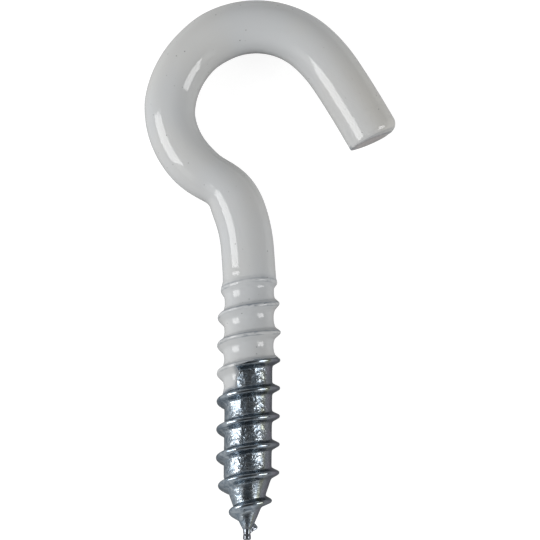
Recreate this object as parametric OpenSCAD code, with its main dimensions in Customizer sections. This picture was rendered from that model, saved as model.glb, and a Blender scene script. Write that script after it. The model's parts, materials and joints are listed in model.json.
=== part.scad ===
// Screw hook: one length of steel wire, rolled with a wood-screw thread and bent into an open hook.
// It lies flat, with the tip of the screw towards -Y and the hook's round top towards +Y.
// All sizes are in millimetres.

/* [Wire] */
// Diameter of the finished wire
wire_d = 5.8; // [4.8:0.1:7.5]
// Radius of the rim round the cut end of the wire
rim_radius = 0.6; // [0.2:0.1:1.5]

/* [Thread] */
// Length from the tip to the shoulder where the thread runs out
thread_length = 28.2; // [18:0.1:45]
// Distance from one turn to the next
thread_pitch = 3.07; // [2.4:0.01:4]
// Depth of the core below the surface of the wire
core_depth = 0.28; // [0.16:0.02:0.6]
// Height of the ridge above the core
ridge_height = 0.83; // [0.6:0.01:1.2]
// Width of the ridge where it meets the core
ridge_base = 1.1; // [0.8:0.05:1.6]
// Width of the flat along the crest of the ridge
ridge_crest = 0.2; // [0.1:0.05:0.4]
// Angle by which the thread is turned about the shank
thread_turn = 146; // [0:1:359]
// Length over which the crest sinks back into the wire, up to the shoulder
run_out = 3.9; // [2:0.1:8]
// Length of the bevel from the core up to the shoulder
shoulder_bevel = 0.3; // [0.1:0.05:0.8]

/* [Point] */
// Length of the tapered point, with its nub
point_length = 6.4; // [4:0.1:10]
// Diameter of the nub that is left at the tip
nub_d = 0.76; // [0.5:0.02:1.2]
// Length of the nub
nub_length = 0.85; // [0.5:0.05:1.4]
// Length over which the ridge rises out of the point
run_in = 1.4; // [0.4:0.1:3]

/* [Hook] */
// Length of plain shank between the shoulder and the first bend
plain_length = 1.1; // [0.8:0.1:30]
// Inside radius of the long bend that leads the shank aside
sway_inside = 15.1; // [8:0.1:40]
// Angle of that long bend
sway_angle = 23; // [10:1:35]
// Inside radius of the tight bend at the neck
neck_inside = 3.6; // [2:0.1:8]
// Angle of the bend at the neck
neck_angle = 38; // [20:1:50]
// Inside radius of the round loop
loop_inside = 6.5; // [5:0.1:14]
// Angle of the round loop
loop_angle = 202; // [160:1:215]
// Inside radius of the slight bend that leads into the tail
lip_inside = 27.1; // [15:0.1:60]
// Angle of that slight bend
lip_angle = 7; // [0.5:0.5:15]
// Length of the straight tail
tail_length = 7; // [2:0.1:14]

/* [Hidden] */
$fn = 96;

wire_r = wire_d / 2;
core_r = wire_r - core_depth;
crest_r = core_r + ridge_height;
nub_r = nub_d / 2;
nub_rim = nub_r / 2;

// Height of the beads that join the stretches of the wire
join_proud = 0.01;

// How far a surface that ends inside another one goes below it
tuck = 0.1;

// Which way a bend turns, as seen from above by someone who walks along the wire
LEFT = 1;
RIGHT = -1;

// ---- Centreline of the wire, for placing the part about its own middle ----

sway_r = sway_inside + wire_r;
neck_r = neck_inside + wire_r;
loop_r = loop_inside + wire_r;
lip_r = lip_inside + wire_r;

// Direction along the wire at a heading, and the direction to its left
function along(heading) = [cos(heading), sin(heading)];
function leftward(heading) = [-sin(heading), cos(heading)];

function bend_centre(start, heading, radius, side) = start + side * radius * leftward(heading);
function bend_end(start, heading, radius, angle, side) =
    bend_centre(start, heading, radius, side) - side * radius * leftward(heading + side * angle);

shank_heading = 90;
neck_heading = shank_heading + sway_angle;
loop_heading = neck_heading + neck_angle;
lip_heading = loop_heading - loop_angle;
tail_heading = lip_heading - lip_angle;

sway_start = [0, thread_length + plain_length];
neck_start = bend_end(sway_start, shank_heading, sway_r, sway_angle, LEFT);
loop_start = bend_end(neck_start, neck_heading, neck_r, neck_angle, LEFT);
loop_centre = bend_centre(loop_start, loop_heading, loop_r, RIGHT);
lip_start = bend_end(loop_start, loop_heading, loop_r, loop_angle, RIGHT);
tail_start = bend_end(lip_start, lip_heading, lip_r, lip_angle, RIGHT);
rim_centre = tail_start + (tail_length - rim_radius) * along(tail_heading)
    + (wire_r - rim_radius) * leftward(tail_heading);

// Edges of the whole part, seen from above
left_edge = loop_centre[0] - loop_r - wire_r;
right_edge = rim_centre[0] + rim_radius;
top_edge = loop_centre[1] + loop_r + wire_r;

// ---- Thread ----

// The thread is a grid of points. Its rows follow the helix, so the crest of the ridge is one sharp row,
// and its columns run up the shank. One turn has these rows, given as heights above the crest's middle.
row_heights = [-ridge_base / 2, -ridge_crest / 2, ridge_crest / 2, ridge_base / 2, thread_pitch / 2];
crest_rows = [1, 2];
rows = len(row_heights);
columns = 48;

// The grid ends in a ramp of one turn at each end. Both ramps are squeezed flat and lie inside solid metal,
// the lower one in the nub and the upper one in the plain shank.
low_end = nub_length / 2;
high_end = thread_length + 0.2;
low_squeeze = 0.02;
high_squeeze = 0.1;
turn_share = thread_turn / 360;
first_turn = -2;
turns = ceil(high_end / thread_pitch - first_turn + 1.5);

function squeezed(height) =
    height < low_end ? low_end - low_squeeze * (low_end - height)
    : height > high_end ? high_end + high_squeeze * (height - high_end)
    : height;

function share(height, from, to) = max(0, min(1, (height - from) / (to - from)));

function core_radius(height) =
    max(nub_r / 2, nub_r + (core_r - nub_r) * min(1, (height - nub_length) / (point_length - nub_length)));

function crest_radius(height) = min(
    core_radius(height) + ridge_height * share(height, nub_length, nub_length + run_in),
    crest_r - (crest_r - wire_r + tuck) * pow(share(height, thread_length - run_out, thread_length), 1.5));

function is_crest(row) = len(search(row % rows, crest_rows)) > 0;

function thread_point(row, column) =
    let (
        turn = first_turn + floor(row / rows) + turn_share + column / columns,
        height = squeezed(turn * thread_pitch + row_heights[row % rows]),
        radius = is_crest(row) ? crest_radius(height) : core_radius(height),
        angle = 360 * column / columns
    )
    [radius * cos(angle), radius * sin(angle), height];

// A column past the last one is the first column again, one turn higher
function at(row, column) = column < columns ? row * columns + column : (row + rows) * columns;

// The loop of points round the ramp that starts at a row
function ramp_loop(row) = concat(
    [for (column = [0:columns - 1]) at(row, column)],
    [for (step = [rows:-1:1]) at(row + step, 0)]);

// The core with its ridge, from inside the nub to inside the plain shank
module thread() {
    top_row = rows * (turns - 1) - 1;
    points = [for (row = [0:top_row + rows]) for (column = [0:columns - 1]) thread_point(row, column)];
    low_centre = len(points);
    high_centre = low_centre + 1;
    low_loop = ramp_loop(0);
    high_loop = ramp_loop(top_row);
    last = len(low_loop) - 1;
    sides = [
        for (row = [0:top_row - 1]) for (column = [0:columns - 1])
            [at(row, column), at(row + 1, column), at(row + 1, column + 1), at(row, column + 1)]
    ];
    low_cap = [for (k = [0:last]) [low_centre, low_loop[k], low_loop[k == last ? 0 : k + 1]]];
    high_cap = [for (k = [0:last]) [high_centre, high_loop[k == last ? 0 : k + 1], high_loop[k]]];
    color("silver")
        rotate([-90, 0, 0])
            polyhedron(
                points = concat(points, [[0, 0, points[0][2]], [0, 0, points[low_centre - columns][2]]]),
                faces = concat(sides, low_cap, high_cap));
}

// ---- Wire ----

// A round rod along +Y with a rounded rim at its far end
module rod(radius, length, rim) {
    rotate([-90, 0, 0]) {
        cylinder(r = radius, h = length - rim);
        cylinder(r = radius - rim, h = length);
        translate([0, 0, length - rim])
            rotate_extrude()
                translate([radius - rim, 0])
                    circle(r = rim);
    }
}

// The nub reaches from inside the point down to the very tip
module nub() {
    inner_end = nub_length + tuck;
    color("silver")
        translate([0, inner_end, 0])
            rotate([0, 0, 180])
                rod(nub_r, inner_end, nub_rim);
}

// The bevel where the thread's core widens to the plain wire. It starts a little inside the core.
module shoulder() {
    length = shoulder_bevel * (core_depth + tuck) / core_depth;
    color("gainsboro")
        translate([0, thread_length - length, 0])
            rotate([-90, 0, 0])
                cylinder(r1 = core_r - tuck, r2 = wire_r, h = length);
}

// A bead where two stretches of wire meet. It stands proud by a hair, so that they become one solid.
// Its poles lie along the wire.
module join() {
    color("gainsboro")
        rotate([-90, 0, 0])
            sphere(r = wire_r + join_proud);
    children();
}

// A straight stretch of wire along +Y. What follows it goes on from its end.
module straight(length) {
    color("gainsboro")
        rotate([-90, 0, 0])
            cylinder(r = wire_r, h = length);
    translate([0, length, 0])
        join()
            children();
}

// A bend that starts along +Y and turns to one side. What follows it goes on from its end.
module bend(radius, angle, side) {
    translate([-side * radius, 0, 0]) {
        color("gainsboro")
            rotate([0, 0, side == LEFT ? 0 : 180 - angle])
                rotate_extrude(angle = angle)
                    translate([radius, 0])
                        circle(r = wire_r);
        rotate([0, 0, side * angle])
            translate([side * radius, 0, 0])
                join()
                    children();
    }
}

module tail() {
    color("gainsboro")
        rod(wire_r, tail_length, rim_radius);
}

// The bent wire, from the shoulder of the thread to the cut end
module hook() {
    translate([0, thread_length, 0])
        straight(plain_length)
            bend(sway_r, sway_angle, LEFT)
                bend(neck_r, neck_angle, LEFT)
                    bend(loop_r, loop_angle, RIGHT)
                        bend(lip_r, lip_angle, RIGHT)
                            tail();
}

// The origin is under the middle of the part, on the surface that it lies on
module screw_hook() {
    translate([-(left_edge + right_edge) / 2, -top_edge / 2, crest_r]) {
        nub();
        thread();
        shoulder();
        hook();
    }
}

screw_hook();
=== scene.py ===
"""Looks of the coated screw hook: one bent length of steel wire with a rolled wood-screw thread.

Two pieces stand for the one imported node. The plated steel shows at the thread's lower turns and the
point, and the white coat covers the rest, dipped on from the hook's end. Sizes are in millimetres
until a mesh is made.
"""

import json
import logging
import math
from dataclasses import dataclass, field
from enum import Enum
from functools import cached_property

import bpy
import numpy as np
from mathutils import Matrix, Vector, noise


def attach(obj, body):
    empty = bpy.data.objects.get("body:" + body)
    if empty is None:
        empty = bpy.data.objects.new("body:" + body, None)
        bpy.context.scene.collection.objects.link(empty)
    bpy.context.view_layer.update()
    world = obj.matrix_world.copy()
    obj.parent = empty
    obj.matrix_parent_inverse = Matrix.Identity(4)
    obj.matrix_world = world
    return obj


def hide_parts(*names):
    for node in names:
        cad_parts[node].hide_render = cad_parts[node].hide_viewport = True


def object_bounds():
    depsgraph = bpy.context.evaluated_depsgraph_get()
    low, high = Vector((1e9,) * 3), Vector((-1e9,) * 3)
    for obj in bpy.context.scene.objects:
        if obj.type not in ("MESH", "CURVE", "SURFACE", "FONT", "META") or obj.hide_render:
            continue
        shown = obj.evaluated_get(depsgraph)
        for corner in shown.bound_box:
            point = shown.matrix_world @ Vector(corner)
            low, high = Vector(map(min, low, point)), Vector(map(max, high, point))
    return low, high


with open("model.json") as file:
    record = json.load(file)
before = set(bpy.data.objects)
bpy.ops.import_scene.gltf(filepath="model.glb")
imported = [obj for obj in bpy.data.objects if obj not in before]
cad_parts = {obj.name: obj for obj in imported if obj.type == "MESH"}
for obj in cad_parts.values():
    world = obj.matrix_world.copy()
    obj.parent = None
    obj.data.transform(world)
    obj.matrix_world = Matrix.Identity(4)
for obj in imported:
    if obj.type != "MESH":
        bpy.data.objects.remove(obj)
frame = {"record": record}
CAD_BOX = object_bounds()

NODE = "screw_hook"
BODY = "root"
MM = 0.001
FULL_TURN = 2.0 * math.pi
COLUMNS = 96
WHITE = (1.0, 1.0, 1.0)

Span = tuple[float, float]
Colour = tuple[float, float, float]
Socket = bpy.types.NodeSocket

log = logging.getLogger("screw_hook")


class Slot(Enum):
    """Material slots that the record names."""

    COAT = "white_coat"
    PLATE = "zinc_plate"


class Side(Enum):
    """Which way a bend turns, seen from above and looking along the wire away from the point."""

    LEFT = 1.0
    RIGHT = -1.0


# ---- Small shaping tools ----


def ramp(values: np.ndarray, start: float, end: float) -> np.ndarray:
    """Rise smoothly from 0 to 1 between two values.

    Args:
        values: Where the rise is wanted.
        start: Value at which it is still 0.
        end: Value from which it is 1.

    Returns:
        The share at each value.
    """
    share = np.clip((values - start) / (end - start), 0.0, 1.0)
    return share * share * (3.0 - 2.0 * share)


def soft_clip(values: np.ndarray, softness: float) -> np.ndarray:
    """Hold values between 0 and 1 with rounded corners.

    Args:
        values: What to hold.
        softness: How far from each corner the rounding reaches.

    Returns:
        The held values.
    """
    low = np.sqrt(values**2 + softness**2)
    high = np.sqrt((values - 1.0) ** 2 + softness**2)
    return 0.5 * (low + 1.0 - high)


def soft_max(one: np.ndarray, other: np.ndarray, softness: float) -> np.ndarray:
    """Take the larger of two values with a rounded inner corner.

    Args:
        one: First values.
        other: Second values.
        softness: How far from the corner the rounding reaches.

    Returns:
        The larger values, lifted a little where they are close.
    """
    return 0.5 * (one + other + np.sqrt((one - other) ** 2 + softness**2))


@dataclass(frozen=True)
class Band:
    """A soft band: where its middle is, how far it reaches to each side, and how strong it is."""

    middle: float
    reach: float
    strength: float = 1.0

    def share(self, values: np.ndarray) -> np.ndarray:
        """Give the band's strength at each value."""
        return np.exp(-(((values - self.middle) / self.reach) ** 2)) * self.strength


@dataclass(frozen=True)
class Stripe:
    """A stripe along the thread: its angle in turns, its reach to each side, and how strong it is."""

    middle: float
    reach: float
    strength: float
    full_part: float = 0.3

    def share(self, around: np.ndarray) -> np.ndarray:
        """Give the stripe's strength at angles in turns."""
        apart = np.abs((around - self.middle + 0.5) % 1.0 - 0.5)
        return (1.0 - ramp(apart, self.full_part * self.reach, self.reach)) * self.strength


@dataclass(frozen=True)
class Facing:
    """How much the surface faces one side, between two cosines of the angle away from that side."""

    side: float
    start: float
    full: float

    def share(self, around: np.ndarray) -> np.ndarray:
        """Give the share at angles in turns."""
        return ramp(np.cos(FULL_TURN * (around - self.side)), self.start, self.full)


@dataclass(frozen=True)
class Grain:
    """Smooth noise from -1 to 1: the width of one bump, and a shift that sets it apart."""

    size: float
    seed: float = 0.0

    def at(self, points: np.ndarray) -> np.ndarray:
        """Give one value for each point.

        Args:
            points: Points, with three numbers along the last axis.

        Returns:
            The values.
        """
        flat = points.reshape(-1, 3) / self.size + self.seed
        return np.array([noise.noise(Vector(point)) for point in flat]).reshape(points.shape[:-1])


# ---- The wire's line ----


@dataclass(frozen=True)
class Bend:
    """One stretch of the wire that turns at one radius."""

    radius: float
    degrees: float
    side: Side

    @property
    def length(self) -> float:
        """Length along the middle of the wire."""
        return self.radius * math.radians(self.degrees)

    @property
    def curvature(self) -> float:
        """Turn for each millimetre, positive to the left."""
        return self.side.value / self.radius


@dataclass(frozen=True)
class Straight:
    """One stretch of the wire that doesn't turn."""

    length: float
    curvature: float = 0.0


@dataclass
class WireLine:
    """The middle of the wire, from the point of the thread to the hook's cut end."""

    start: Vector
    stretches: list[Bend | Straight]
    first_heading: float = 90.0
    spring: float = 0.9
    step: float = 0.05

    @property
    def length(self) -> float:
        """Whole length of the line."""
        return sum(stretch.length for stretch in self.stretches)

    @cached_property
    def _track(self) -> tuple[np.ndarray, np.ndarray, np.ndarray, np.ndarray]:
        """Follow the line once in short steps, with each change of bend spread over a short length.

        Returns:
            Distances, points, headings in radians and curvatures.
        """
        steps = round(self.spring / self.step)
        distances = np.arange(-steps, round(self.length / self.step) + 2 * steps) * self.step
        sharp = np.zeros_like(distances)
        begin = 0.0
        for stretch in self.stretches:
            sharp[distances >= begin] = stretch.curvature
            begin += stretch.length
        spread = np.cos(np.linspace(-0.5, 0.5, 2 * steps + 1)[1:-1] * math.pi) ** 2
        padded = np.pad(sharp, steps - 1, mode="edge")
        curvatures = np.convolve(padded, spread / spread.sum(), mode="valid")
        headings = math.radians(self.first_heading) + self._sum_up(curvatures, steps)
        xs = self.start.x + self._sum_up(np.cos(headings), steps)
        ys = self.start.y + self._sum_up(np.sin(headings), steps)
        return distances, np.stack([xs, ys, np.full_like(xs, self.start.z)], axis=1), headings, curvatures

    def _sum_up(self, rates: np.ndarray, zero: int) -> np.ndarray:
        """Add up a rate along the line.

        Args:
            rates: The rate at each step.
            zero: Number of the step where the sum is 0.

        Returns:
            The sum at each step.
        """
        halves = (rates[1:] + rates[:-1]) * self.step / 2.0
        sums = np.concatenate([[0.0], np.cumsum(halves)])
        return sums - sums[zero]

    def place(self, distances: np.ndarray) -> tuple[np.ndarray, np.ndarray, np.ndarray]:
        """Find the line at distances from its start.

        Args:
            distances: Distances along the line.

        Returns:
            The points, the headings in radians and the curvatures, one of each for each distance.
        """
        along, points, headings, curvatures = self._track
        columns = [np.interp(distances, along, column) for column in (*points.T, headings, curvatures)]
        return np.stack(columns[:3], axis=1), columns[3], columns[4]


# ---- The rolled thread ----


@dataclass(frozen=True)
class Flanks:
    """Shape of a ridge's sides: the reach of its foot above and below the crest, and its softness."""

    above: float
    below: float
    flat: float
    softness: float
    crest_rounding: float = 0.1

    def share(self, offset: np.ndarray) -> np.ndarray:
        """Give the share of the ridge's full height.

        Args:
            offset: Distance above the crest, negative below it.

        Returns:
            Shares from 0 to 1.
        """
        reach = np.where(offset > 0.0, self.above, self.below)
        away = np.sqrt(offset**2 + self.crest_rounding**2) - self.crest_rounding
        top = soft_clip(reach / (reach - self.flat), self.softness)
        return soft_clip((reach - away) / (reach - self.flat), self.softness) / top


@dataclass(frozen=True)
class ThreadForm:
    """How far the steel stands out from its axis, at each angle and each height above the tip.

    Angles are in turns: 0 is the side towards +X, 0.25 the bottom, 0.5 the side towards -X and 0.75
    the top. A ridge is named by the turns that it has climbed since it first passed angle 0.
    """

    wire_radius: float
    crest_radius: float
    pitch: float = 3.06
    first_crest: float = 1.16
    core_depth: float = 0.31
    flanks: Flanks = Flanks(above=0.43, below=0.52, flat=0.10, softness=0.28)
    point_from: float = 1.1
    point_height: float = 6.75
    point_fullness: float = 0.80
    nub_radius: float = 0.37
    nub_rounding: float = 0.16
    nub_blend: float = 0.12
    nub_neck: Band = Band(0.6375, 0.15, 0.05)
    growth: Span = (-0.2, 7.7)
    fade: Span = (7.2, 9.1)
    first_turn: float = -0.07
    last_turn: float = 9.3
    start_length: float = 0.09
    end_length: float = 0.35
    core_end_length: float = 0.25
    curl: Band = Band(0.03, 0.05, 0.11)
    curl_thinness: float = 0.45
    curl_thinned: Span = (0.1, 0.3)
    end_thinness: float = 0.35
    end_thinned: Span = (8.7, 9.0)
    early_rise: Band = Band(0.35, 0.35, 0.24)
    late_rise: Band = Band(7.97, 0.12, 0.12)
    lag: float = 0.18
    lagging: Span = (8.45, 8.65)
    top_crest: float = 28.0
    top_softness: float = 0.12
    top_crest_proud: float = 0.12

    @property
    def core_radius(self) -> float:
        """Radius at the bottom of the grooves."""
        return self.wire_radius - self.core_depth

    def crest_height(self, turns: np.ndarray) -> np.ndarray:
        """Give the height of the ridge's crest, which lags and then flattens out at the top.

        Args:
            turns: Turns climbed.

        Returns:
            Heights above the tip.
        """
        climbed = self.first_crest + self.pitch * turns - self.lag * ramp(turns, *self.lagging)
        climbed += self.late_rise.share(turns)
        climbed += self.early_rise.share(turns)
        apart = np.sqrt((climbed - self.top_crest) ** 2 + self.top_softness**2)
        return 0.5 * (climbed + self.top_crest - apart)

    def ridge_below(self, around: np.ndarray, height: np.ndarray) -> np.ndarray:
        """Name the turn of the ridge that passes just below each place.

        Args:
            around: Angles in turns, from 0 to 1.
            height: Heights above the tip.

        Returns:
            Turns climbed by that ridge where it passes each angle.
        """
        number = np.floor((height - self.first_crest) / self.pitch - around)
        number += self.crest_height(around + number + 1.0) <= height
        return around + np.minimum(number, np.floor(self.last_turn - around))

    def from_crest(self, around: np.ndarray, height: np.ndarray) -> np.ndarray:
        """Give the distance above the nearest crest.

        Args:
            around: Angles in turns.
            height: Heights above the tip.

        Returns:
            Distances, negative below the crest.
        """
        turns = self.ridge_below(around, height)
        above = height - self.crest_height(turns)
        below = height - self.crest_height(turns + 1.0)
        missing = turns + 1.0 > self.last_turn
        return np.where(missing | (above < -below), above, below)

    def core(self, around: np.ndarray, height: np.ndarray) -> np.ndarray:
        """Give the radius of the core that carries the ridge, with the cone and nub of the point.

        Args:
            around: Angles in turns.
            height: Heights above the tip.

        Returns:
            Radii.
        """
        above = self.ridge_below(around, height) + 1.0
        ended = ramp(above, self.last_turn - self.core_end_length, self.last_turn)
        shank = self.wire_radius - self.core_depth * (1.0 - ended)
        up = np.clip((height - self.point_from) / (self.point_height - self.point_from), 0.0, None)
        cone = self.nub_radius + (self.core_radius - self.nub_radius) * up**self.point_fullness
        # The nub's end is squarish with a rounded rim, and a shallow neck parts it from the cone.
        below = np.clip(self.nub_rounding - height, 0.0, self.nub_rounding)
        rim = np.sqrt(self.nub_rounding**2 - below**2) - self.nub_rounding
        point = soft_max(cone, np.full_like(cone, self.nub_radius), self.nub_blend)
        return np.minimum(shank, point) + rim - self.nub_neck.share(height)

    def crest(self, turns: np.ndarray) -> np.ndarray:
        """Give the radius of the ridge's crest, which grows from the point and sinks away at the top.

        Args:
            turns: Turns climbed.

        Returns:
            Radii.
        """
        start, full = self.growth
        share = np.clip((self.crest_height(turns) - start) / (full - start), 0.0, 1.0)
        grown = self.crest_radius * np.sin(share * math.pi / 2.0) + self.curl.share(turns)
        sunk = self.wire_radius + self.top_crest_proud
        return grown - (self.crest_radius - sunk) * ramp(turns, *self.fade)

    def ridge(
        self, around: np.ndarray, height: np.ndarray, core: np.ndarray, flanks: Flanks
    ) -> tuple[np.ndarray, np.ndarray]:
        """Give how far the ridges on both sides of a place lift the surface off the core there.

        Args:
            around: Angles in turns.
            height: Heights above the tip.
            core: Radius that the ridges stand on.
            flanks: Shape of the ridges' sides.

        Returns:
            Lifts, and the ridges' shares of their full height.
        """
        lower = self.ridge_below(around, height)
        lifts, shares = [], []
        for turns in (lower, lower + 1.0):
            begun = ramp(turns, self.first_turn, self.first_turn + self.start_length)
            ended = 1.0 - ramp(turns, self.last_turn - self.end_length, self.last_turn)
            thinner = 1.0 + self.curl_thinness * (1.0 - ramp(turns, *self.curl_thinned))
            thinner += self.end_thinness * ramp(turns, *self.end_thinned)
            share = flanks.share((height - self.crest_height(turns)) * thinner) * begun * ended
            shares.append(share)
            lifts.append(np.maximum(self.crest(turns) - core, 0.0) * share)
        return np.hypot(*lifts), np.minimum(np.hypot(*shares), 1.0)


# ---- Meshes ----


def skin(name: str, rings: np.ndarray, marks: dict[str, np.ndarray]) -> bpy.types.Object:
    """Stretch a closed skin over rings of points, with a point in the middle of each end.

    Args:
        name: The piece's name.
        rings: Points in millimetres, as rings by columns by three. Each ring turns anticlockwise about
            the way the rings follow each other.
        marks: Values for the material, one for each point of the rings.

    Returns:
        The piece, in metres.
    """
    rows, columns, _ = rings.shape
    points = np.concatenate([rings.reshape(-1, 3), rings[[0, -1]].mean(axis=1)]) * MM
    row, column = np.meshgrid(np.arange(rows - 1), np.arange(columns), indexing="ij")
    along = (column + 1) % columns
    near, next_one = row * columns + column, row * columns + along
    up, next_up = near + columns, next_one + columns
    # The shared edge climbs to the right, as the ridge does.
    lower = np.stack([near, next_one, next_up], axis=-1).reshape(-1, 3)
    upper = np.stack([near, next_up, up], axis=-1).reshape(-1, 3)
    here = np.arange(columns)
    there = (here + 1) % columns
    last = (rows - 1) * columns
    foot = np.stack([there, here, np.full(columns, rows * columns)], axis=-1)
    head = np.stack([last + here, last + there, np.full(columns, rows * columns + 1)], axis=-1)
    faces = np.concatenate([lower, upper, foot, head])
    mesh = bpy.data.meshes.new(name)
    mesh.vertices.add(len(points))
    mesh.vertices.foreach_set("co", points.ravel())
    mesh.loops.add(faces.size)
    mesh.loops.foreach_set("vertex_index", faces.ravel().astype(np.int32))
    mesh.polygons.add(len(faces))
    mesh.polygons.foreach_set("loop_start", np.arange(0, faces.size, 3, dtype=np.int32))
    mesh.polygons.foreach_set("use_smooth", np.ones(len(faces), dtype=bool))
    for mark, values in marks.items():
        ends = np.array([values[0].mean(), values[-1].mean()])
        layer = mesh.attributes.new(mark, "FLOAT", "POINT")
        layer.data.foreach_set("value", np.concatenate([values.ravel(), ends]).astype(np.float32))
    mesh.update(calc_edges=True)
    mesh.validate()
    piece = bpy.data.objects.new(name, mesh)
    bpy.context.scene.collection.objects.link(piece)
    return piece


def keep(piece: bpy.types.Object) -> None:
    """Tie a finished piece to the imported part.

    Args:
        piece: The piece, in place.
    """
    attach(piece, BODY)
    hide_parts(NODE)


# ---- Finishes ----


@dataclass(frozen=True)
class Cloud:
    """Soft noise in a material: the width of one patch in millimetres, and its finer layers."""

    size: float
    layers: float
    layer_strength: float = 0.5


class NodeBench:
    """A node tree, with short ways to add what the finishes and the studio need."""

    def __init__(self, owner: bpy.types.Material | bpy.types.World) -> None:
        """Start an empty node tree.

        Args:
            owner: The material or the world that the nodes belong to.
        """
        owner.use_nodes = True
        self.owner = owner
        self.tree = owner.node_tree
        self.tree.nodes.clear()
        self.space = self.add("ShaderNodeTexCoord").outputs

    def feed(self, target: Socket, value: Socket | float | Colour) -> None:
        """Link a socket to another one, or set it to a plain number, direction or colour.

        Args:
            target: The socket that takes the value.
            value: The value.
        """
        if isinstance(value, Socket):
            self.tree.links.new(value, target)
        elif target.type == "RGBA":
            target.default_value = (*value, 1.0)
        else:
            target.default_value = value

    def add(
        self, kind: str, inputs: dict[str | int, Socket | float | Colour] | None = None, **settings: str
    ) -> bpy.types.Node:
        """Add a node.

        Args:
            kind: Its type.
            inputs: What its sockets take, by their names or numbers.
            settings: Its properties.

        Returns:
            The node.
        """
        node = self.tree.nodes.new(kind)
        for name, value in settings.items():
            setattr(node, name, value)
        for name, value in (inputs or {}).items():
            self.feed(node.inputs[name], value)
        return node

    def finish(self, surface: bpy.types.Node) -> bpy.types.Material | bpy.types.World:
        """Send the last shader to the output.

        Args:
            surface: The shader.

        Returns:
            The finished material or world.
        """
        kind = "World" if isinstance(self.owner, bpy.types.World) else "Material"
        self.add(f"ShaderNodeOutput{kind}", {"Surface": surface.outputs[0]})
        return self.owner

    def cloud(self, cloud: Cloud) -> Socket:
        """Add soft noise.

        Args:
            cloud: What it is like.

        Returns:
            The noise's value.
        """
        inputs = {
            "Vector": self.space["Object"],
            "Scale": 1.0 / (cloud.size * MM),
            "Detail": cloud.layers,
            "Roughness": cloud.layer_strength,
        }
        return self.add("ShaderNodeTexNoise", inputs).outputs["Fac"]

    def spread(self, value: Socket, span: Span, result: Span = (0.0, 1.0)) -> Socket:
        """Map one range of a value to another, and hold it there.

        Args:
            value: The value.
            span: Start and end of its range.
            result: What the start and the end become.

        Returns:
            The new value.
        """
        inputs = {
            "Value": value,
            "From Min": span[0],
            "From Max": span[1],
            "To Min": result[0],
            "To Max": result[1],
        }
        return self.add("ShaderNodeMapRange", inputs, interpolation_type="SMOOTHSTEP").outputs["Result"]

    def combine(self, kind: str, *values: Socket | float) -> Socket:
        """Work out a value from others.

        Args:
            kind: The operation.
            values: Sockets or plain numbers.

        Returns:
            The result.
        """
        return self.add("ShaderNodeMath", dict(enumerate(values)), operation=kind).outputs[0]

    def mark(self, name: str) -> Socket:
        """Read a value that the mesh carries."""
        return self.add("ShaderNodeAttribute", attribute_name=name).outputs["Fac"]

    def blend(self, share: Socket, one: Colour | Socket, other: Colour | Socket) -> Socket:
        """Mix two colours.

        Args:
            share: How much of the second colour shows.
            one: First colour.
            other: Second colour.

        Returns:
            The mixed colour.
        """
        return self.add("ShaderNodeMix", {0: share, 6: one, 7: other}, data_type="RGBA").outputs[2]

    def bump(self, height: Socket, reach: float, under: Socket | None = None) -> Socket:
        """Turn a height into a bent normal.

        Args:
            height: Height from 0 to 1.
            reach: What a height of 1 stands for, in millimetres.
            under: A bump that this one goes on top of.

        Returns:
            The normal.
        """
        inputs = {"Strength": 1.0, "Distance": reach * MM, "Height": height}
        if under is not None:
            inputs["Normal"] = under
        return self.add("ShaderNodeBump", inputs).outputs["Normal"]


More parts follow.
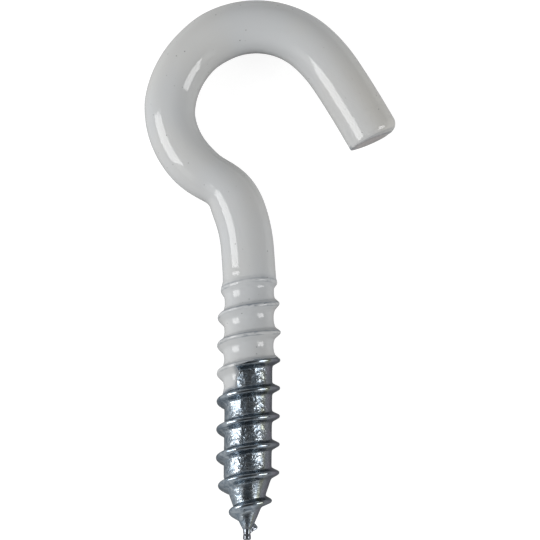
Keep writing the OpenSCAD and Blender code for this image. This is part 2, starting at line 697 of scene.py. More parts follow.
@dataclass(frozen=True)
class WhiteEnamel:
    """A thin gloss coat of white enamel, with fine specks, greyer where it is drawn thin, and with shade
    painted in the same grey by the ridges and at the cut end.
    """

    cool: Colour = (0.582, 0.597, 0.607)
    warm: Colour = (0.610, 0.601, 0.572)
    # Grey of thin coat, also used for painted shade by the ridges, on the thread's right side and at the cut
    # end.
    thin: Colour = (0.17, 0.20, 0.235)
    # Cut face: pinkish grey of a thinner coat, and darker as painted shade for a face that looks down and
    # away from the lamps.
    cut: Colour = (0.45, 0.41, 0.40)
    speck: Colour = (0.20, 0.20, 0.20)
    roughness: float = 0.07
    refraction: float = 1.46
    patches: Cloud = Cloud(9.0, 2.0)
    patch_span: Span = (0.35, 0.65)
    patch_warmth: float = 0.45
    speck_cell: float = 0.85
    speck_radius: float = 0.11
    speck_core: float = 0.4
    speck_choice: Span = (0.35, 0.90)
    speck_strength: float = 0.65
    speck_depth: float = 0.01
    peel: Cloud = Cloud(1.6, 2.0)
    peel_height: float = 0.0035

    def material(self) -> bpy.types.Material:
        """Make the enamel.

        Returns:
            The material.
        """
        bench = NodeBench(bpy.data.materials.new("white_enamel"))
        patches = bench.spread(bench.cloud(self.patches), self.patch_span, (0.0, self.patch_warmth))
        # Warm patches at random, and warmer towards the cut end, most on the left of the wire's line.
        body = bench.blend(bench.combine("MAXIMUM", patches, bench.mark("yellowed")), self.cool, self.warm)
        specks = self._specks(bench)
        # The cut face: a thinner coat's tint together with painted shade.
        body = bench.blend(bench.mark("cut_face"), body, self.cut)
        # This grey mark holds thin coat and painted shade together.
        body = bench.blend(bench.mark("thinness"), body, self.thin)
        body = bench.blend(specks, body, self.speck)
        peel = bench.bump(bench.cloud(self.peel), self.peel_height)
        pits = bench.bump(bench.spread(specks, (0.0, 1.0), (1.0, 0.0)), self.speck_depth, peel)
        inputs = {"Base Color": body, "Roughness": self.roughness, "IOR": self.refraction, "Normal": pits}
        return bench.finish(bench.add("ShaderNodeBsdfPrincipled", inputs))

    def _specks(self, bench: NodeBench) -> Socket:
        """Add scattered specks.

        Args:
            bench: The material that they go on.

        Returns:
            Their strength at each place.
        """
        inputs = {"Vector": bench.space["Object"], "Scale": 1.0 / (self.speck_cell * MM)}
        cells = bench.add("ShaderNodeTexVoronoi", inputs).outputs
        reach = self.speck_radius / self.speck_cell
        dots = bench.spread(cells["Distance"], (reach * self.speck_core, reach), (1.0, 0.0))
        parts = bench.add("ShaderNodeSeparateColor", {0: cells["Color"]})
        chosen = bench.spread(parts.outputs[0], self.speck_choice, (0.0, self.speck_strength))
        return bench.combine("MULTIPLY", dots, chosen)


@dataclass(frozen=True)
class ZincPlate:
    """Bright zinc plating on rolled steel: bluish, mottled in the grooves, smooth on the ridges, darker at
    the nub, with painted shade down the right side and painted reflections in olive and violet stripes
    there.
    """

    dark: Colour = (0.212, 0.258, 0.304)
    bright: Colour = (0.375, 0.418, 0.455)
    # Darker plating at the nub, and the colour of the painted shade down the right side.
    dull_and_shaded: Colour = (0.160, 0.167, 0.185)
    # Olive and violet are painted reflections, in stripes down the right side.
    olive: Colour = (0.190, 0.202, 0.166)
    violet: Colour = (0.210, 0.195, 0.235)
    edge: Colour = (0.62, 0.64, 0.66)
    tint: Cloud = Cloud(1.1, 2.0)
    olive_span: Span = (0.35, 0.60)
    violet_span: Span = (0.60, 0.35)
    smooth: float = 0.20
    rough: float = 0.31
    ridge_polish: float = 0.09
    ridge_span: Span = (0.3, 0.8)
    mottle: Cloud = Cloud(0.50, 2.8, 0.55)
    mottle_height: float = 0.14
    bright_span: Span = (0.35, 0.65)
    smooth_span: Span = (0.3, 0.7)
    calm: Cloud = Cloud(1.4, 1.0)
    calm_span: Span = (0.42, 0.58)
    calm_share: float = 0.75
    pits: Cloud = Cloud(0.13, 1.0)
    pit_height: float = 0.006

    def material(self) -> bpy.types.Material:
        """Make the plating.

        Returns:
            The material.
        """
        bench = NodeBench(bpy.data.materials.new("zinc_plating"))
        mottle = bench.cloud(self.mottle)
        body = bench.blend(bench.spread(mottle, self.bright_span), self.dark, self.bright)
        # Painted shade down the right side, and darker plating at the nub.
        body = bench.blend(bench.mark("dulled"), body, self.dull_and_shaded)
        # Painted reflections: olive and violet stripes down the right side, broken up by a cloud.
        tint = bench.cloud(self.tint)
        tints = (("olive", self.olive, self.olive_span), ("violet", self.violet, self.violet_span))
        for mark, colour, span in tints:
            share = bench.combine("MULTIPLY", bench.spread(tint, span), bench.mark(mark))
            body = bench.blend(share, body, colour)
        roughness = bench.spread(mottle, self.smooth_span, (self.rough, self.smooth))
        polish = bench.spread(bench.mark("groove"), self.ridge_span, (self.ridge_polish, 0.0))
        calm = bench.spread(bench.cloud(self.calm), self.calm_span, (self.calm_share, 1.0))
        rolled = bench.combine("MULTIPLY", bench.mark("rolled"), calm)
        coarse = bench.bump(bench.combine("MULTIPLY", mottle, rolled), self.mottle_height)
        inputs = {
            "Base Color": body,
            "Metallic": 1.0,
            "Roughness": bench.combine("SUBTRACT", roughness, polish),
            "Specular Tint": self.edge,
            "Normal": bench.bump(bench.cloud(self.pits), self.pit_height, coarse),
        }
        return bench.finish(bench.add("ShaderNodeBsdfPrincipled", inputs))


# ---- The two pieces ----


def ring_points(
    line: WireLine,
    distances: np.ndarray,
    across: np.ndarray,
    upright: np.ndarray,
    forward: np.ndarray | None = None,
) -> np.ndarray:
    """Place rings of points round the wire's line.

    Args:
        line: The wire's line.
        distances: Distance of each ring along it.
        across: How far each point is to the line's right.
        upright: How far each point is above it.
        forward: How far each point is moved along the line's heading.

    Returns:
        Points, as rings by columns by three.
    """
    middles, headings, _ = line.place(distances)
    flat = np.zeros_like(headings)
    right = np.stack([np.sin(headings), -np.cos(headings), flat], axis=1)
    ahead = np.stack([np.cos(headings), np.sin(headings), flat], axis=1)
    up = np.array([0.0, 0.0, 1.0])
    points = middles[:, None, :] + across[..., None] * right[:, None, :] + upright[..., None] * up
    if forward is not None:
        points = points + forward[..., None] * ahead[:, None, :]
    return points


@dataclass
class SteelThread:
    """The bare plated steel: the point and the lower turns, going up inside the coat."""

    line: WireLine
    form: ThreadForm
    finish: ZincPlate = field(default_factory=ZincPlate)
    top: float = 21.5
    dents: Grain = Grain(0.9, 3.7)
    dent_depth: float = 0.012
    point_calm: float = 0.3
    point_calmed: Span = (5.6, 7.6)
    nub_dullness: float = 0.9
    nub_dulled: Span = (0.7, 1.5)
    # A stripe of painted shade down the thread's right side.
    right_shade_stripe: Stripe = Stripe(0.93, 0.125, 0.85)
    # Olive and violet stripes of painted reflection.
    olive_reflection_stripe: Stripe = Stripe(0.856, 0.028, 0.9)
    violet_reflection_stripe: Stripe = Stripe(0.93, 0.05, 0.7)

    def build(self) -> bpy.types.Object:
        """Build the steel's mesh.

        Returns:
            The piece, without its finish.
        """
        heights = np.arange(0.0, self.top, self.form.pitch / COLUMNS)
        height, around = np.meshgrid(heights, np.arange(COLUMNS) / COLUMNS, indexing="ij")
        core = self.form.core(around, height)
        lift, share = self.form.ridge(around, height, core, self.form.flanks)
        radius = core + lift
        # Rolling left shallow dents, which fade out towards the point.
        dents = self.dents.at(self._rings(heights, around, radius)) * self.dent_depth
        radius = radius + np.minimum(dents * np.minimum(height / self.form.point_height, 1.0), 0.0)
        calmed = self.point_calm * (1.0 - ramp(height, *self.point_calmed))
        dull_nub = self.nub_dullness - ramp(height, *self.nub_dulled)
        marks = {
            "groove": 1.0 - share,
            "rolled": (1.0 - share) * (1.0 - calmed),
            # Painted shade down the right side, and darker plating at the nub.
            "dulled": np.maximum(self.right_shade_stripe.share(around), dull_nub),
            # Painted reflections in olive and violet stripes.
            "olive": self.olive_reflection_stripe.share(around),
            "violet": self.violet_reflection_stripe.share(around),
        }
        return skin("plated_steel_thread", self._rings(heights, around, radius), marks)

    def _rings(self, heights: np.ndarray, around: np.ndarray, radius: np.ndarray) -> np.ndarray:
        """Place the rings of points round the thread's axis."""
        angle = FULL_TURN * around
        return ring_points(self.line, heights, radius * np.cos(angle), -radius * np.sin(angle))

    def dress(self, piece: bpy.types.Object) -> None:
        """Give the piece its plating and tie it to the part."""
        piece.data.materials.append(self.finish.material())
        keep(piece)


@dataclass(frozen=True)
class Girth:
    """Half of the wire's width at one place along it."""

    distance: float
    half_width: float


@dataclass(frozen=True)
class DipMark:
    """Height of the coat's lower edge above the tip, at one angle in turns."""

    around: float
    height: float


@dataclass(frozen=True)
class DipLine:
    """The coat's lower edge, which goes round the thread through its marks and wanders a little."""

    marks: tuple[DipMark, ...]
    wander: float = 0.07
    wandering: Grain = Grain(1.0 / 6.0)
    wander_place: float = 0.22
    steps: int = 720

    def above(self, around: np.ndarray, height: np.ndarray, radius: float) -> np.ndarray:
        """Give the distance up from the edge, measured square to it.

        Args:
            around: Angles in turns.
            height: Heights above the tip.
            radius: Radius of the surface that the edge runs on.

        Returns:
            Distances, negative below the edge.
        """
        turns = np.linspace(0.0, 1.0, self.steps + 1)
        edge = np.full_like(turns, self.marks[0].height)
        for one, other in zip(self.marks, self.marks[1:]):
            edge += (other.height - one.height) * ramp(turns, one.around, other.around)
        angle = FULL_TURN * turns
        ring = np.stack([np.cos(angle), np.sin(angle), np.full_like(angle, self.wander_place)], axis=-1)
        edge += self.wander * self.wandering.at(ring)
        apart = np.full_like(height, np.inf)
        for turn, level in zip(turns, edge):
            apart = np.minimum(apart, np.hypot((around - turn) * FULL_TURN * radius, height - level))
        return np.where(height > np.interp(around, turns, edge), apart, -apart)


@dataclass(frozen=True)
class CrestWearAndShade:
    """Where the coat is drawn thin or rubbed on the ridges, above and below each crest and on it, and where
    shade is painted: in the crease above each crest, in a band above that towards the right, and faintly
    over the thread's right side.
    """

    # upper is partly thin coat and partly painted shade in the crease above each crest. shade, on
    # shaded_side, is a band of painted shade above the crest, towards the right.
    upper: Band = Band(0.17, 0.095, 0.85)
    shade: Band = Band(0.42, 0.17, 0.30)
    shaded_side: Facing = Facing(0.83, 0.3, 0.95)
    lower: Band = Band(-0.20, 0.070)
    lower_least: float = 0.15
    lower_worn: float = 0.50
    worn: Grain = Grain(2.4, 5.2)
    worn_span: Span = (-0.2, 0.25)
    patchy: Grain = Grain(0.5, 8.1)
    patchy_middle: float = 0.8
    patchy_swing: float = 0.5
    # This side also sets where the faint painted shade over the thread falls.
    rubbed_and_shaded_side: Facing = Facing(0.87, 0.1, 0.9)
    rubbed: Band = Band(24.9, 0.8)
    speckled: Band = Band(0.0, 0.18)
    speckles: Grain = Grain(0.17, 2.3)
    speckle_span: Span = (0.0, 0.4)
    speckle_least: float = 0.5
    speckle_rubbed: float = 0.3
    most: float = 0.9
    top_fade: float = 0.4
    top_faded: Span = (26.2, 27.2)
    crest_end: Span = (28.5, 29.0)
    # film is a faint painted shade over the thread's right side, fading out near the top of the thread.
    film: float = 0.07
    right_shade_end: Span = (27.5, 28.2)

    def thinness(
        self, offset: np.ndarray, distance: np.ndarray, around: np.ndarray, points: np.ndarray
    ) -> np.ndarray:
        """Say how thin the coat is, with the painted shade by the ridges added in.

        Args:
            offset: Distances above the nearest crest.
            distance: Distances along the line.
            around: Angles in turns.
            points: The points themselves.

        Returns:
            Shares from 0 to 1.
        """
        worn = ramp(self.worn.at(points), *self.worn_span)
        # Above each crest: partly thin coat and partly painted shade in the crease, then a broad band of
        # painted shade towards the right. Below it: thin coat where worn.
        edges = self.upper.share(offset) + self.shade.share(offset) * self.shaded_side.share(around)
        edges = edges + self.lower.share(offset) * (self.lower_least + self.lower_worn * worn)
        patchy = self.patchy_middle + self.patchy_swing * self.patchy.at(points)
        facing = self.rubbed_and_shaded_side.share(around)
        rubbed = self.rubbed.share(distance) * facing
        speckle = self.speckled.share(offset) * np.maximum(worn, rubbed)
        speckle *= ramp(self.speckles.at(points), *self.speckle_span)
        speckle *= self.speckle_least + self.speckle_rubbed * rubbed
        thin = np.clip(edges * patchy + speckle, 0.0, self.most)
        thin *= 1.0 - self.top_fade * ramp(distance, *self.top_faded)
        thin *= 1.0 - ramp(distance, *self.crest_end)
        # A faint painted shade over the thread's right side lies under the rest.
        return np.maximum(thin, self.film * facing * (1.0 - ramp(distance, *self.right_shade_end)))


@dataclass
class CoatedHook:
    """The white coat with the hook that it covers: upper turns, shank, loop and cut end."""

    line: WireLine
    form: ThreadForm
    girths: list[Girth]
    dip: DipLine
    finish: WhiteEnamel = field(default_factory=WhiteEnamel)
    # Thin coat and rubbing on the ridges, and the painted shade there.
    wear_and_shade: CrestWearAndShade = field(default_factory=CrestWearAndShade)
    film: float = 0.03
    fill: float = 0.05
    drip: float = 0.07
    sag_radius: float = 2.6
    sag_most: float = 0.15
    sag_fade: Span = (-2.9, -0.6)
    fill_fade: Span = (-0.3, 0.3)
    flanks: Flanks = Flanks(above=0.46, below=0.60, flat=0.09, softness=0.40)
    tuck: float = 0.05
    lip: float = 0.16
    lip_swell: float = 0.02
    lip_swell_length: float = 0.8
    edge_thinness: float = 0.55
    edge_thinned: Span = (0.05, 0.38)
    edge_top: float = 22.0
    foot: float = 15.0
    thread_end: float = 29.4
    wire_from: float = 0.5
    ring_step: float = 0.2
    end_rings: int = 14
    face_rings: int = 10
    face_lap: int = 3
    end_length: float = 2.7
    end_bulge: float = 0.15
    end_slant: float = 0.081
    end_lean: float = 0.085
    inner_rim: float = 0.06
    outer_rim: float = 1.25
    rim_growth: float = 1.3
    upper_rim: float = 0.32
    rim_thinness: float = 0.30
    # Painted shade along the outer half of the rim, where it turns onto the cut face.
    outer_rim_shade: Facing = Facing(0.5, -0.2, 0.6)
    outer_rim_shade_strength: float = 0.35
    # A painted contact shadow along the cut end's inner corner.
    inner_corner_shadow: Facing = Facing(0.0, 0.93, 0.99)
    inner_corner_shadow_strength: float = 0.75
    bend_swell: float = 0.15
    narrow_height: float = 0.5
    # The coat turns warmer towards the cut end, most on the left of the wire's line.
    yellowed: Span = (66.0, 82.0)
    warm_side: Facing = Facing(0.5, -0.4, 0.5)
    warm_least: float = 0.35

    def build(self) -> bpy.types.Object:
        """Build the coat's mesh.

        Returns:
            The piece, without its finish.
        """
        threaded = np.arange(self.foot, self.thread_end, self.form.pitch / COLUMNS)
        plain_end = self.line.length - self.end_length
        plain_rings = int((plain_end - self.thread_end) / self.ring_step)
        distances = np.concatenate([threaded, np.linspace(self.thread_end, plain_end, plain_rings)])
        distance, around = np.meshgrid(distances, np.arange(COLUMNS) / COLUMNS, indexing="ij")
        across, upright = self._section(distances, distance, around)
        points = ring_points(self.line, distances, across, upright)
        rings = np.concatenate([points, self._cut_end(distances[-1])])
        marks = self._marks(distance, around, points, rings.shape[:2])
        return skin("white_coated_hook", rings, marks)

    def _marks(
        self, distance: np.ndarray, around: np.ndarray, points: np.ndarray, shape: tuple[int, int]
    ) -> dict[str, np.ndarray]:
        """Say where the coat is thin and where shade is painted on it, where it is warmer towards the end
        and which rings are the cut face.

        Args:
            distance: Distances along the line, up to where the cut end starts.
            around: Angles in turns, up to there.
            points: The points up to there.
            shape: Numbers of rings and of columns in the whole piece.

        Returns:
            Shares from 0 to 1 by name, one for each point of the whole piece.
        """
        covered = len(distance)
        face = -self.face_rings
        thinness = np.zeros(shape)
        thinness[:covered] = self._thin_coat_and_shade(distance, around, points)
        thinness[face - self.end_rings // 2 : face + 1] = self.rim_thinness
        # On the outer half, painted shade goes on top of the rim's thin coat where it meets the cut face.
        outer_rim_shade = self.outer_rim_shade.share(around[0]) * self.outer_rim_shade_strength
        thinness[face - self.face_lap : face + 1] += outer_rim_shade
        # Painted contact shadow along the inner corner of the cut end.
        inner_corner_shadow = self.inner_corner_shadow.share(around[0]) * self.inner_corner_shadow_strength
        thinness[face - self.end_rings - 2 : face + 2] += inner_corner_shadow
        cut_face = np.zeros(shape)
        cut_face[face - self.face_lap :] = 1.0
        side = self.warm_least + (1.0 - self.warm_least) * self.warm_side.share(around[0])
        yellowed = np.ones(shape) * side
        yellowed[:covered] *= ramp(distance, *self.yellowed)
        return {"thinness": thinness, "cut_face": cut_face, "yellowed": yellowed}

    def _thin_coat_and_shade(self, distance: np.ndarray, around: np.ndarray, points: np.ndarray) -> np.ndarray:
        """Say where the coat is drawn thin, on the ridges and at its lower edge, and where shade is painted
        by the ridges.

        Args:
            distance: Distances along the line.
            around: Angles in turns.
            points: The points themselves.

        Returns:
            Shares from 0 to 1.
        """
        # On the ridges this holds thin coat and painted shade together.
        on_ridges = self.wear_and_shade.thinness(self.form.from_crest(around, distance), distance, around, points)
        above = self.dip.above(around, distance, self.form.core_radius)
        at_edge = (1.0 - ramp(above, *self.edge_thinned)) * self.edge_thinness
        return np.maximum(on_ridges, at_edge * (distance < self.edge_top))

    def _section(
        self, distances: np.ndarray, distance: np.ndarray, around: np.ndarray
    ) -> tuple[np.ndarray, np.ndarray]:
        """Give the outline of the coated wire.

        Args:
            distances: Distance of each ring along the line.
            distance: The same for each point.
            around: Angle of each point, in turns.

        Returns:
            How far each point is to the right of the line, and how far above it.
        """
        angle = FULL_TURN * around
        width = self._half_width(distances)[:, None]
        threaded = self._coat_radius(around, distance)
        on_wire = ramp(distance, self.form.top_crest + self.wire_from, self.thread_end)
        radius = threaded + (width - threaded) * on_wire
        # Bent wire keeps its area: where it is drawn narrow it stands taller, and it swells inside the bend.
        taller = 1.0 + self.narrow_height * (self.form.wire_radius / width - 1.0) * on_wire
        curvatures = self.line.place(distances)[2]
        swell = self.bend_swell * width * curvatures[:, None] * on_wire
        across = radius * np.cos(angle)
        upright = -radius * np.sin(angle) * taller * (1.0 - swell * np.cos(angle))
        return across, upright

    def _half_width(self, distances: np.ndarray) -> np.ndarray:
        """Give half of the wire's width.

        Args:
            distances: Distances along the line.

        Returns:
            Half widths.
        """
        width = np.full(len(distances), self.girths[0].half_width)
        for one, other in zip(self.girths, self.girths[1:]):
            share = ramp(distances, one.distance, other.distance)
            width += (other.half_width - one.half_width) * share
        return width

    def _coat_radius(self, around: np.ndarray, height: np.ndarray) -> np.ndarray:
        """Give the coat's radius on the thread, where it fills the ridges' feet and ends at the dip line.

        Args:
            around: Angles in turns.
            height: Heights above the tip.

        Returns:
            Radii.
        """
        bare = self.form.core(around, height)
        steel = bare + self.form.ridge(around, height, bare, self.form.flanks)[0]
        # Wet coat filled the corners at the ridges' feet and drew thin over their crests.
        below = self.form.ridge_below(around, height)
        climbed = np.clip((height - self.form.crest_height(below)) / self.form.pitch, 0.0, 1.0)
        pooled = self.fill + self.drip * (1.0 - climbed)
        # In a groove it hangs between the two ridges in a shallow round sag.
        off_middle = self.form.pitch / 2.0 - np.abs(self.form.from_crest(around, height))
        sag = off_middle**2 / (2.0 * self.sag_radius)
        from_top = height - self.form.top_crest
        sag *= (1.0 - ramp(from_top, *self.sag_fade)) / np.hypot(1.0, sag / self.sag_most)
        filled = bare + (pooled + sag) * (1.0 - ramp(from_top, *self.fill_fade))
        coat = filled + self.form.ridge(around, height, filled, self.flanks)[0]
        coat = soft_max(coat, steel + self.film / 2.0, self.film)
        above = self.dip.above(around, height, self.form.core_radius)
        covered = ramp(above, -self.lip / 2.0, self.lip / 2.0)
        swell = ramp(above, 0.0, self.lip) * (1.0 - ramp(above, self.lip, self.lip_swell_length))
        hidden = steel - self.tuck
        radius = hidden + (coat + self.lip_swell * swell - hidden) * covered
        return np.minimum(radius, self.form.crest_radius + self.film / 2.0)

    def _cut_end(self, begin: float) -> np.ndarray:
        """Build the rings of the sheared end: sharp inside the hook, rolled over outside.

        Args:
            begin: Distance of the last plain ring.

        Returns:
            Points, as rings by columns by three.
        """
        around = np.arange(COLUMNS) / COLUMNS
        angle = FULL_TURN * around
        outside = (1.0 - np.cos(angle)) / 2.0
        rim = self.inner_rim + (self.outer_rim - self.inner_rim) * outside**self.rim_growth
        rim += self.upper_rim * np.clip(-np.sin(angle), 0.0, None) ** 2
        half = self.girths[-1].half_width
        length = self._reach_forward(angle, half)
        rings = []
        for number in range(1, self.end_rings + 1):
            share = number / self.end_rings
            rings.append(self._end_ring(begin, angle, half, (length - rim) * share))
        for number in range(1, self.end_rings + 1):
            lift = math.pi / 2.0 * number / self.end_rings
            reach = half - rim * (1.0 - math.cos(lift))
            rings.append(self._end_ring(begin, angle, reach, length - rim + rim * math.sin(lift)))
        # The last ring stays half a step open round the point that closes the face.
        for number in range(1, self.face_rings + 1):
            share = 1.0 - number / (self.face_rings + 0.5)
            reach = (half - rim) * share
            rings.append(self._end_ring(begin, angle, reach, self._reach_forward(angle, reach)))
        return np.stack(rings)

    def _reach_forward(self, angle: np.ndarray, reach: float | np.ndarray) -> np.ndarray:
        """Give how far forward the slanting cut is.

        Args:
            angle: Angle of each point, in radians.
            reach: How far each point is from the line.

        Returns:
            Distances from where the end starts.
        """
        plane = self.end_length - reach * (self.end_slant * np.cos(angle) + self.end_lean * np.sin(angle))
        return plane + self.end_bulge * (1.0 - (reach / self.girths[-1].half_width) ** 2)

    def _end_ring(
        self, begin: float, angle: np.ndarray, reach: float | np.ndarray, forward: np.ndarray
    ) -> np.ndarray:
        """Place one ring of the cut end.

        Args:
            begin: Distance of the ring that the end starts from.
            angle: Angle of each point, in radians.
            reach: How far each point is from the line.
            forward: How far each point is past the start.

        Returns:
            Points, as columns by three.
        """
        across = (reach * np.cos(angle))[None, :]
        upright = (-reach * np.sin(angle))[None, :]
        return ring_points(self.line, np.array([begin]), across, upright, forward[None, :])[0]

    def dress(self, piece: bpy.types.Object) -> None:
        """Give the piece its enamel and tie it to the part."""
        piece.data.materials.append(self.finish.material())
        keep(piece)


@dataclass
class ScrewHook:
    """The whole hook. The tip's place and the thread's axis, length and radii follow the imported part.

    The rest, such as the thread's pitch, the bends and the wire's half widths, are fixed sizes that were
    fitted to this one hook. They have to be worked out again if the part's sizes change.
    """

    lean: Bend = Bend(8.0, 3.95, Side.LEFT)
    shank: Straight = Straight(2.93)
    sway: Bend = Bend(15.92, 20.9, Side.LEFT)
    neck: Bend = Bend(4.53, 38.44, Side.LEFT)
    loop_start: Bend = Bend(9.33, 53.16, Side.RIGHT)
    loop_side: Bend = Bend(7.42, 22.36, Side.RIGHT)
    loop_crown: Bend = Bend(10.47, 40.03, Side.RIGHT)
    loop_end: Bend = Bend(9.07, 80.82, Side.RIGHT)
    lip: Bend = Bend(16.1, 14.0, Side.RIGHT)
    tail: Bend = Bend(99.0, 4.94, Side.RIGHT)
    thread_lean: float = 0.4
    coat_room: float = 0.02
    tip_room: float = 0.004

    def line(self) -> WireLine:
        """Lay the wire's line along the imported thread's axis.

        Returns:
            The line.
        """
        thread = self._mount("screw_thread")
        axis = Vector(thread["pos_m"]) / MM
        length = thread["dims"]["length_mm"]
        # The rolled thread leans a little off its nominal axis and crosses it half way up.
        aside = 0.5 * length * math.sin(math.radians(self.thread_lean))
        tip = Vector((axis.x + aside, CAD_BOX[0].y / MM + self.tip_room, axis.z))
        bends = [self.lean, self.shank, self.sway, self.neck, self.loop_start, self.loop_side]
        bends += [self.loop_crown, self.loop_end, self.lip, self.tail]
        return WireLine(tip, [Straight(length), *bends], first_heading=90.0 + self.thread_lean)

    def form(self) -> ThreadForm:
        """Size the thread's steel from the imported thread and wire.

        Returns:
            The form.
        """
        crest = self._mount("screw_thread")["dims"]["r_mm"]
        wire = self._mount("hook_seat")["dims"]["r_mm"]
        return ThreadForm(wire_radius=wire - self.coat_room, crest_radius=crest - self.coat_room)

    @staticmethod
    def _mount(name: str) -> dict:
        """Find one of the record's mounts by its name."""
        return next(mount for mount in frame["record"]["mounts"] if mount["name"] == name)

    def girths(self) -> list[Girth]:
        """Give the wire's half widths: drawn narrow at the tight neck, and full again towards the end.

        Returns:
            The half widths, in order along the wire.
        """
        return [
            Girth(33.0, 2.89),
            Girth(36.3, 2.90),
            Girth(40.4, 2.60),
            Girth(44.0, 2.757),
            Girth(49.5, 2.757),
            Girth(51.5, 2.82),
            Girth(57.5, 2.82),
            Girth(61.0, 2.945),
        ]

    def dip(self) -> DipLine:
        """Give the coat's lower edge, which steps down from one ridge to the next.

        Returns:
            The edge.
        """
        marks = (
            DipMark(0.0, 19.8),
            DipMark(0.10, 19.7),
            DipMark(0.17, 18.3),
            DipMark(0.33, 17.3),
            DipMark(0.42, 16.1),
            DipMark(0.50, 15.60),
            DipMark(0.668, 16.10),
            DipMark(0.686, 18.45),
            DipMark(0.765, 18.85),
            DipMark(0.785, 19.15),
            DipMark(1.0, 19.8),
        )
        return DipLine(marks)

    def build(self) -> list[bpy.types.Object]:
        """Build and dress both pieces.

        Returns:
            The pieces.
        """
        line, form = self.line(), self.form()
        pieces = []
        for part in (SteelThread(line, form), CoatedHook(line, form, self.girths(), self.dip())):
            piece = part.build()
            part.dress(piece)
            pieces.append(piece)
        return pieces


# ---- The studio ----


@dataclass(frozen=True)
class Softbox:
    """A rectangular lamp: how far it is from straight overhead, which way round, and how bright."""

    name: str
    tilt: float
    bearing: float
    width: float
    height: float
    radiance: float
    distance: float = 0.6

    def place(self, target: Vector) -> None:
        """Hang the lamp so that it faces a point.

        Args:
            target: The point, in metres.
        """
        lamp = bpy.data.lights.new(self.name, "AREA")
        lamp.shape = "RECTANGLE"
        lamp.size = 2.0 * self.distance * math.tan(math.radians(self.width) / 2.0)
        lamp.size_y = 2.0 * self.distance * math.tan(math.radians(self.height) / 2.0)
        lamp.energy = self.radiance * math.pi * lamp.size * lamp.size_y
        tilt, bearing = math.radians(self.tilt), math.radians(self.bearing)
        level = math.sin(tilt)
        away = Vector((level * math.cos(bearing), level * math.sin(bearing), math.cos(tilt)))
        stand = bpy.data.objects.new(self.name, lamp)
        stand.location = target + away * self.distance
        stand.rotation_euler = away.to_track_quat("Z", "Y").to_euler()
        bpy.context.scene.collection.objects.link(stand)


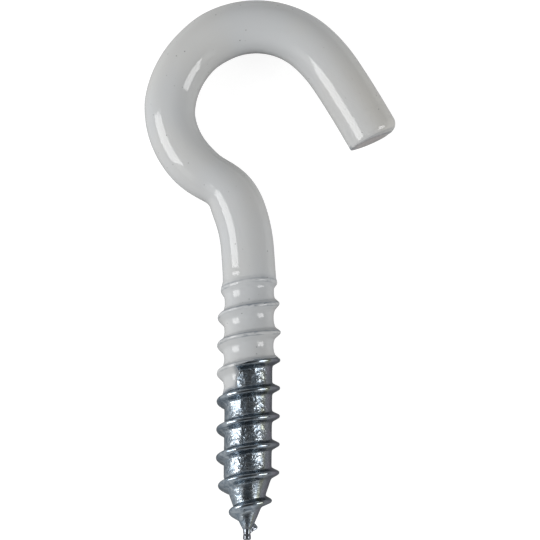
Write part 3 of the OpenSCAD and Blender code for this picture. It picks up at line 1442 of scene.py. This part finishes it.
@dataclass(frozen=True)
class Studio:
    """Pale floor, two softboxes, a soft surround and the camera above the hook."""

    lamps: tuple[Softbox, ...] = (
        Softbox("left_softbox", 61.0, 188.0, 32.0, 34.0, 6.2),
        Softbox("right_softbox", 60.0, 351.5, 23.0, 30.0, 6.6),
        Softbox("left_spill", 64.0, 214.0, 20.0, 28.0, 0.9),
        Softbox("right_spill", 64.0, 326.0, 22.0, 28.0, 1.0),
    )
    room_colour: Colour = (0.8, 0.8, 0.8)
    overhead: float = 0.01
    overhead_lean: float = 16.0
    overhead_power: float = 2.0
    horizon: float = 0.62
    far_side_fall: float = 0.16
    right_side_fall: float = 0.33
    floor_size: float = 6.0
    floor_colour: Colour = (0.30, 0.30, 0.30)
    floor_glow: float = 0.89
    backdrop_glow: float = 0.95
    floor_mirrored: float = 0.62
    occlusion_reach: float = 0.012
    occlusion_power: float = 2.5
    elevation: float = 79.0
    roll: float = 0.9
    lens: float = 186.7
    near_clip: float = 0.01
    camera_distance: float = 0.3055
    aim: tuple[float, float] = (0.285, -0.51)

    def build(self) -> None:
        """Set up everything round the hook."""
        low, high = CAD_BOX
        middle = (low + high) / 2.0
        self._floor(low.z)
        self._surround()
        for lamp in self.lamps:
            lamp.place(middle)
        self._camera(middle)

    def _floor(self, level: float) -> None:
        """Lay the floor, which is white to look at and keeps the hook's shadow.

        Args:
            level: Its height in metres.
        """
        half = self.floor_size / 2.0
        corners = [(-half, -half, level), (half, -half, level), (half, half, level), (-half, half, level)]
        mesh = bpy.data.meshes.new("floor")
        mesh.from_pydata(corners, [], [(0, 1, 2, 3)])
        floor = bpy.data.objects.new("floor", mesh)
        bpy.context.scene.collection.objects.link(floor)
        bench = NodeBench(bpy.data.materials.new("floor"))
        ray = bench.add("ShaderNodeLightPath").outputs
        mirrored = bench.combine("MAXIMUM", ray["Is Glossy Ray"], ray["Is Transmission Ray"])
        # What the hook mirrors of the floor is dimmer close beside it, where the hook itself shades it.
        occlusion = bench.add("ShaderNodeAmbientOcclusion", {"Distance": self.occlusion_reach})
        shaded = bench.combine("POWER", occlusion.outputs["AO"], self.occlusion_power)
        shaded = bench.combine("MULTIPLY", shaded, self.floor_mirrored)
        seen = bench.combine("MAXIMUM", ray["Is Camera Ray"], bench.combine("MULTIPLY", mirrored, shaded))
        matt = bench.add("ShaderNodeBsdfDiffuse", {"Color": self.floor_colour})
        strength = bench.combine("MULTIPLY", seen, self.floor_glow)
        glow = bench.add("ShaderNodeEmission", {"Strength": strength})
        both = bench.add("ShaderNodeAddShader", {0: matt.outputs[0], 1: glow.outputs[0]})
        mesh.materials.append(bench.finish(both))

    def _surround(self) -> None:
        """Light the room softly, dim overhead and brighter towards the horizon."""
        bench = NodeBench(bpy.data.worlds.new("surround"))
        outward = bench.space["Generated"]
        sides = bench.add("ShaderNodeSeparateXYZ", {0: outward}).outputs
        lean = math.radians(self.overhead_lean)
        top = (0.0, -math.sin(lean), math.cos(lean))
        overhead = bench.add("ShaderNodeVectorMath", operation="DOT_PRODUCT", inputs={0: outward, 1: top})
        square = bench.combine("POWER", overhead.outputs["Value"], self.overhead_power)
        ends = {"Value": square, "To Min": self.horizon, "To Max": self.overhead}
        fall = bench.add("ShaderNodeMapRange", ends).outputs["Result"]
        away = bench.combine("MULTIPLY_ADD", sides["Y"], -self.far_side_fall, 1.0)
        aside = bench.combine("MULTIPLY_ADD", sides["X"], -self.right_side_fall, away)
        strength = bench.combine("MULTIPLY", fall, aside)
        room = bench.add("ShaderNodeBackground", {"Color": self.room_colour, "Strength": strength})
        backdrop = bench.add("ShaderNodeBackground", {"Color": WHITE, "Strength": self.backdrop_glow})
        camera_ray = bench.add("ShaderNodeLightPath").outputs["Is Camera Ray"]
        shaders = {0: camera_ray, 1: room.outputs[0], 2: backdrop.outputs[0]}
        bpy.context.scene.world = bench.finish(bench.add("ShaderNodeMixShader", shaders))

    def _camera(self, middle: Vector) -> None:
        """Look down on the hook from the point's side, with a slight roll.

        Args:
            middle: Middle of the part's box, in metres.
        """
        target = middle + Vector((*self.aim, 0.0)) * MM
        rise = math.radians(self.elevation)
        back = Vector((0.0, -math.cos(rise), math.sin(rise)))
        level = Vector((1.0, 0.0, 0.0))
        upward = back.cross(level)
        turn = math.radians(self.roll)
        right = level * math.cos(turn) + upward * math.sin(turn)
        up = back.cross(right)
        lens = bpy.data.cameras.new("camera")
        lens.lens = self.lens
        lens.clip_start = self.near_clip
        camera = bpy.data.objects.new("camera", lens)
        turned = Matrix((right, up, back)).transposed().to_4x4()
        camera.matrix_world = Matrix.Translation(target + back * self.camera_distance) @ turned
        bpy.context.scene.collection.objects.link(camera)
        bpy.context.scene.camera = camera


def main() -> None:
    """Build the hook and the studio, and report each piece."""
    logging.basicConfig(level=logging.INFO, format="%(name)s: %(message)s")
    scene = bpy.context.scene
    scene.view_settings.view_transform = "Standard"
    Studio().build()
    for piece in ScrewHook().build():
        log.info("%s: %d triangles", piece.name, len(piece.data.polygons))


if __name__ == "__main__":
    main()
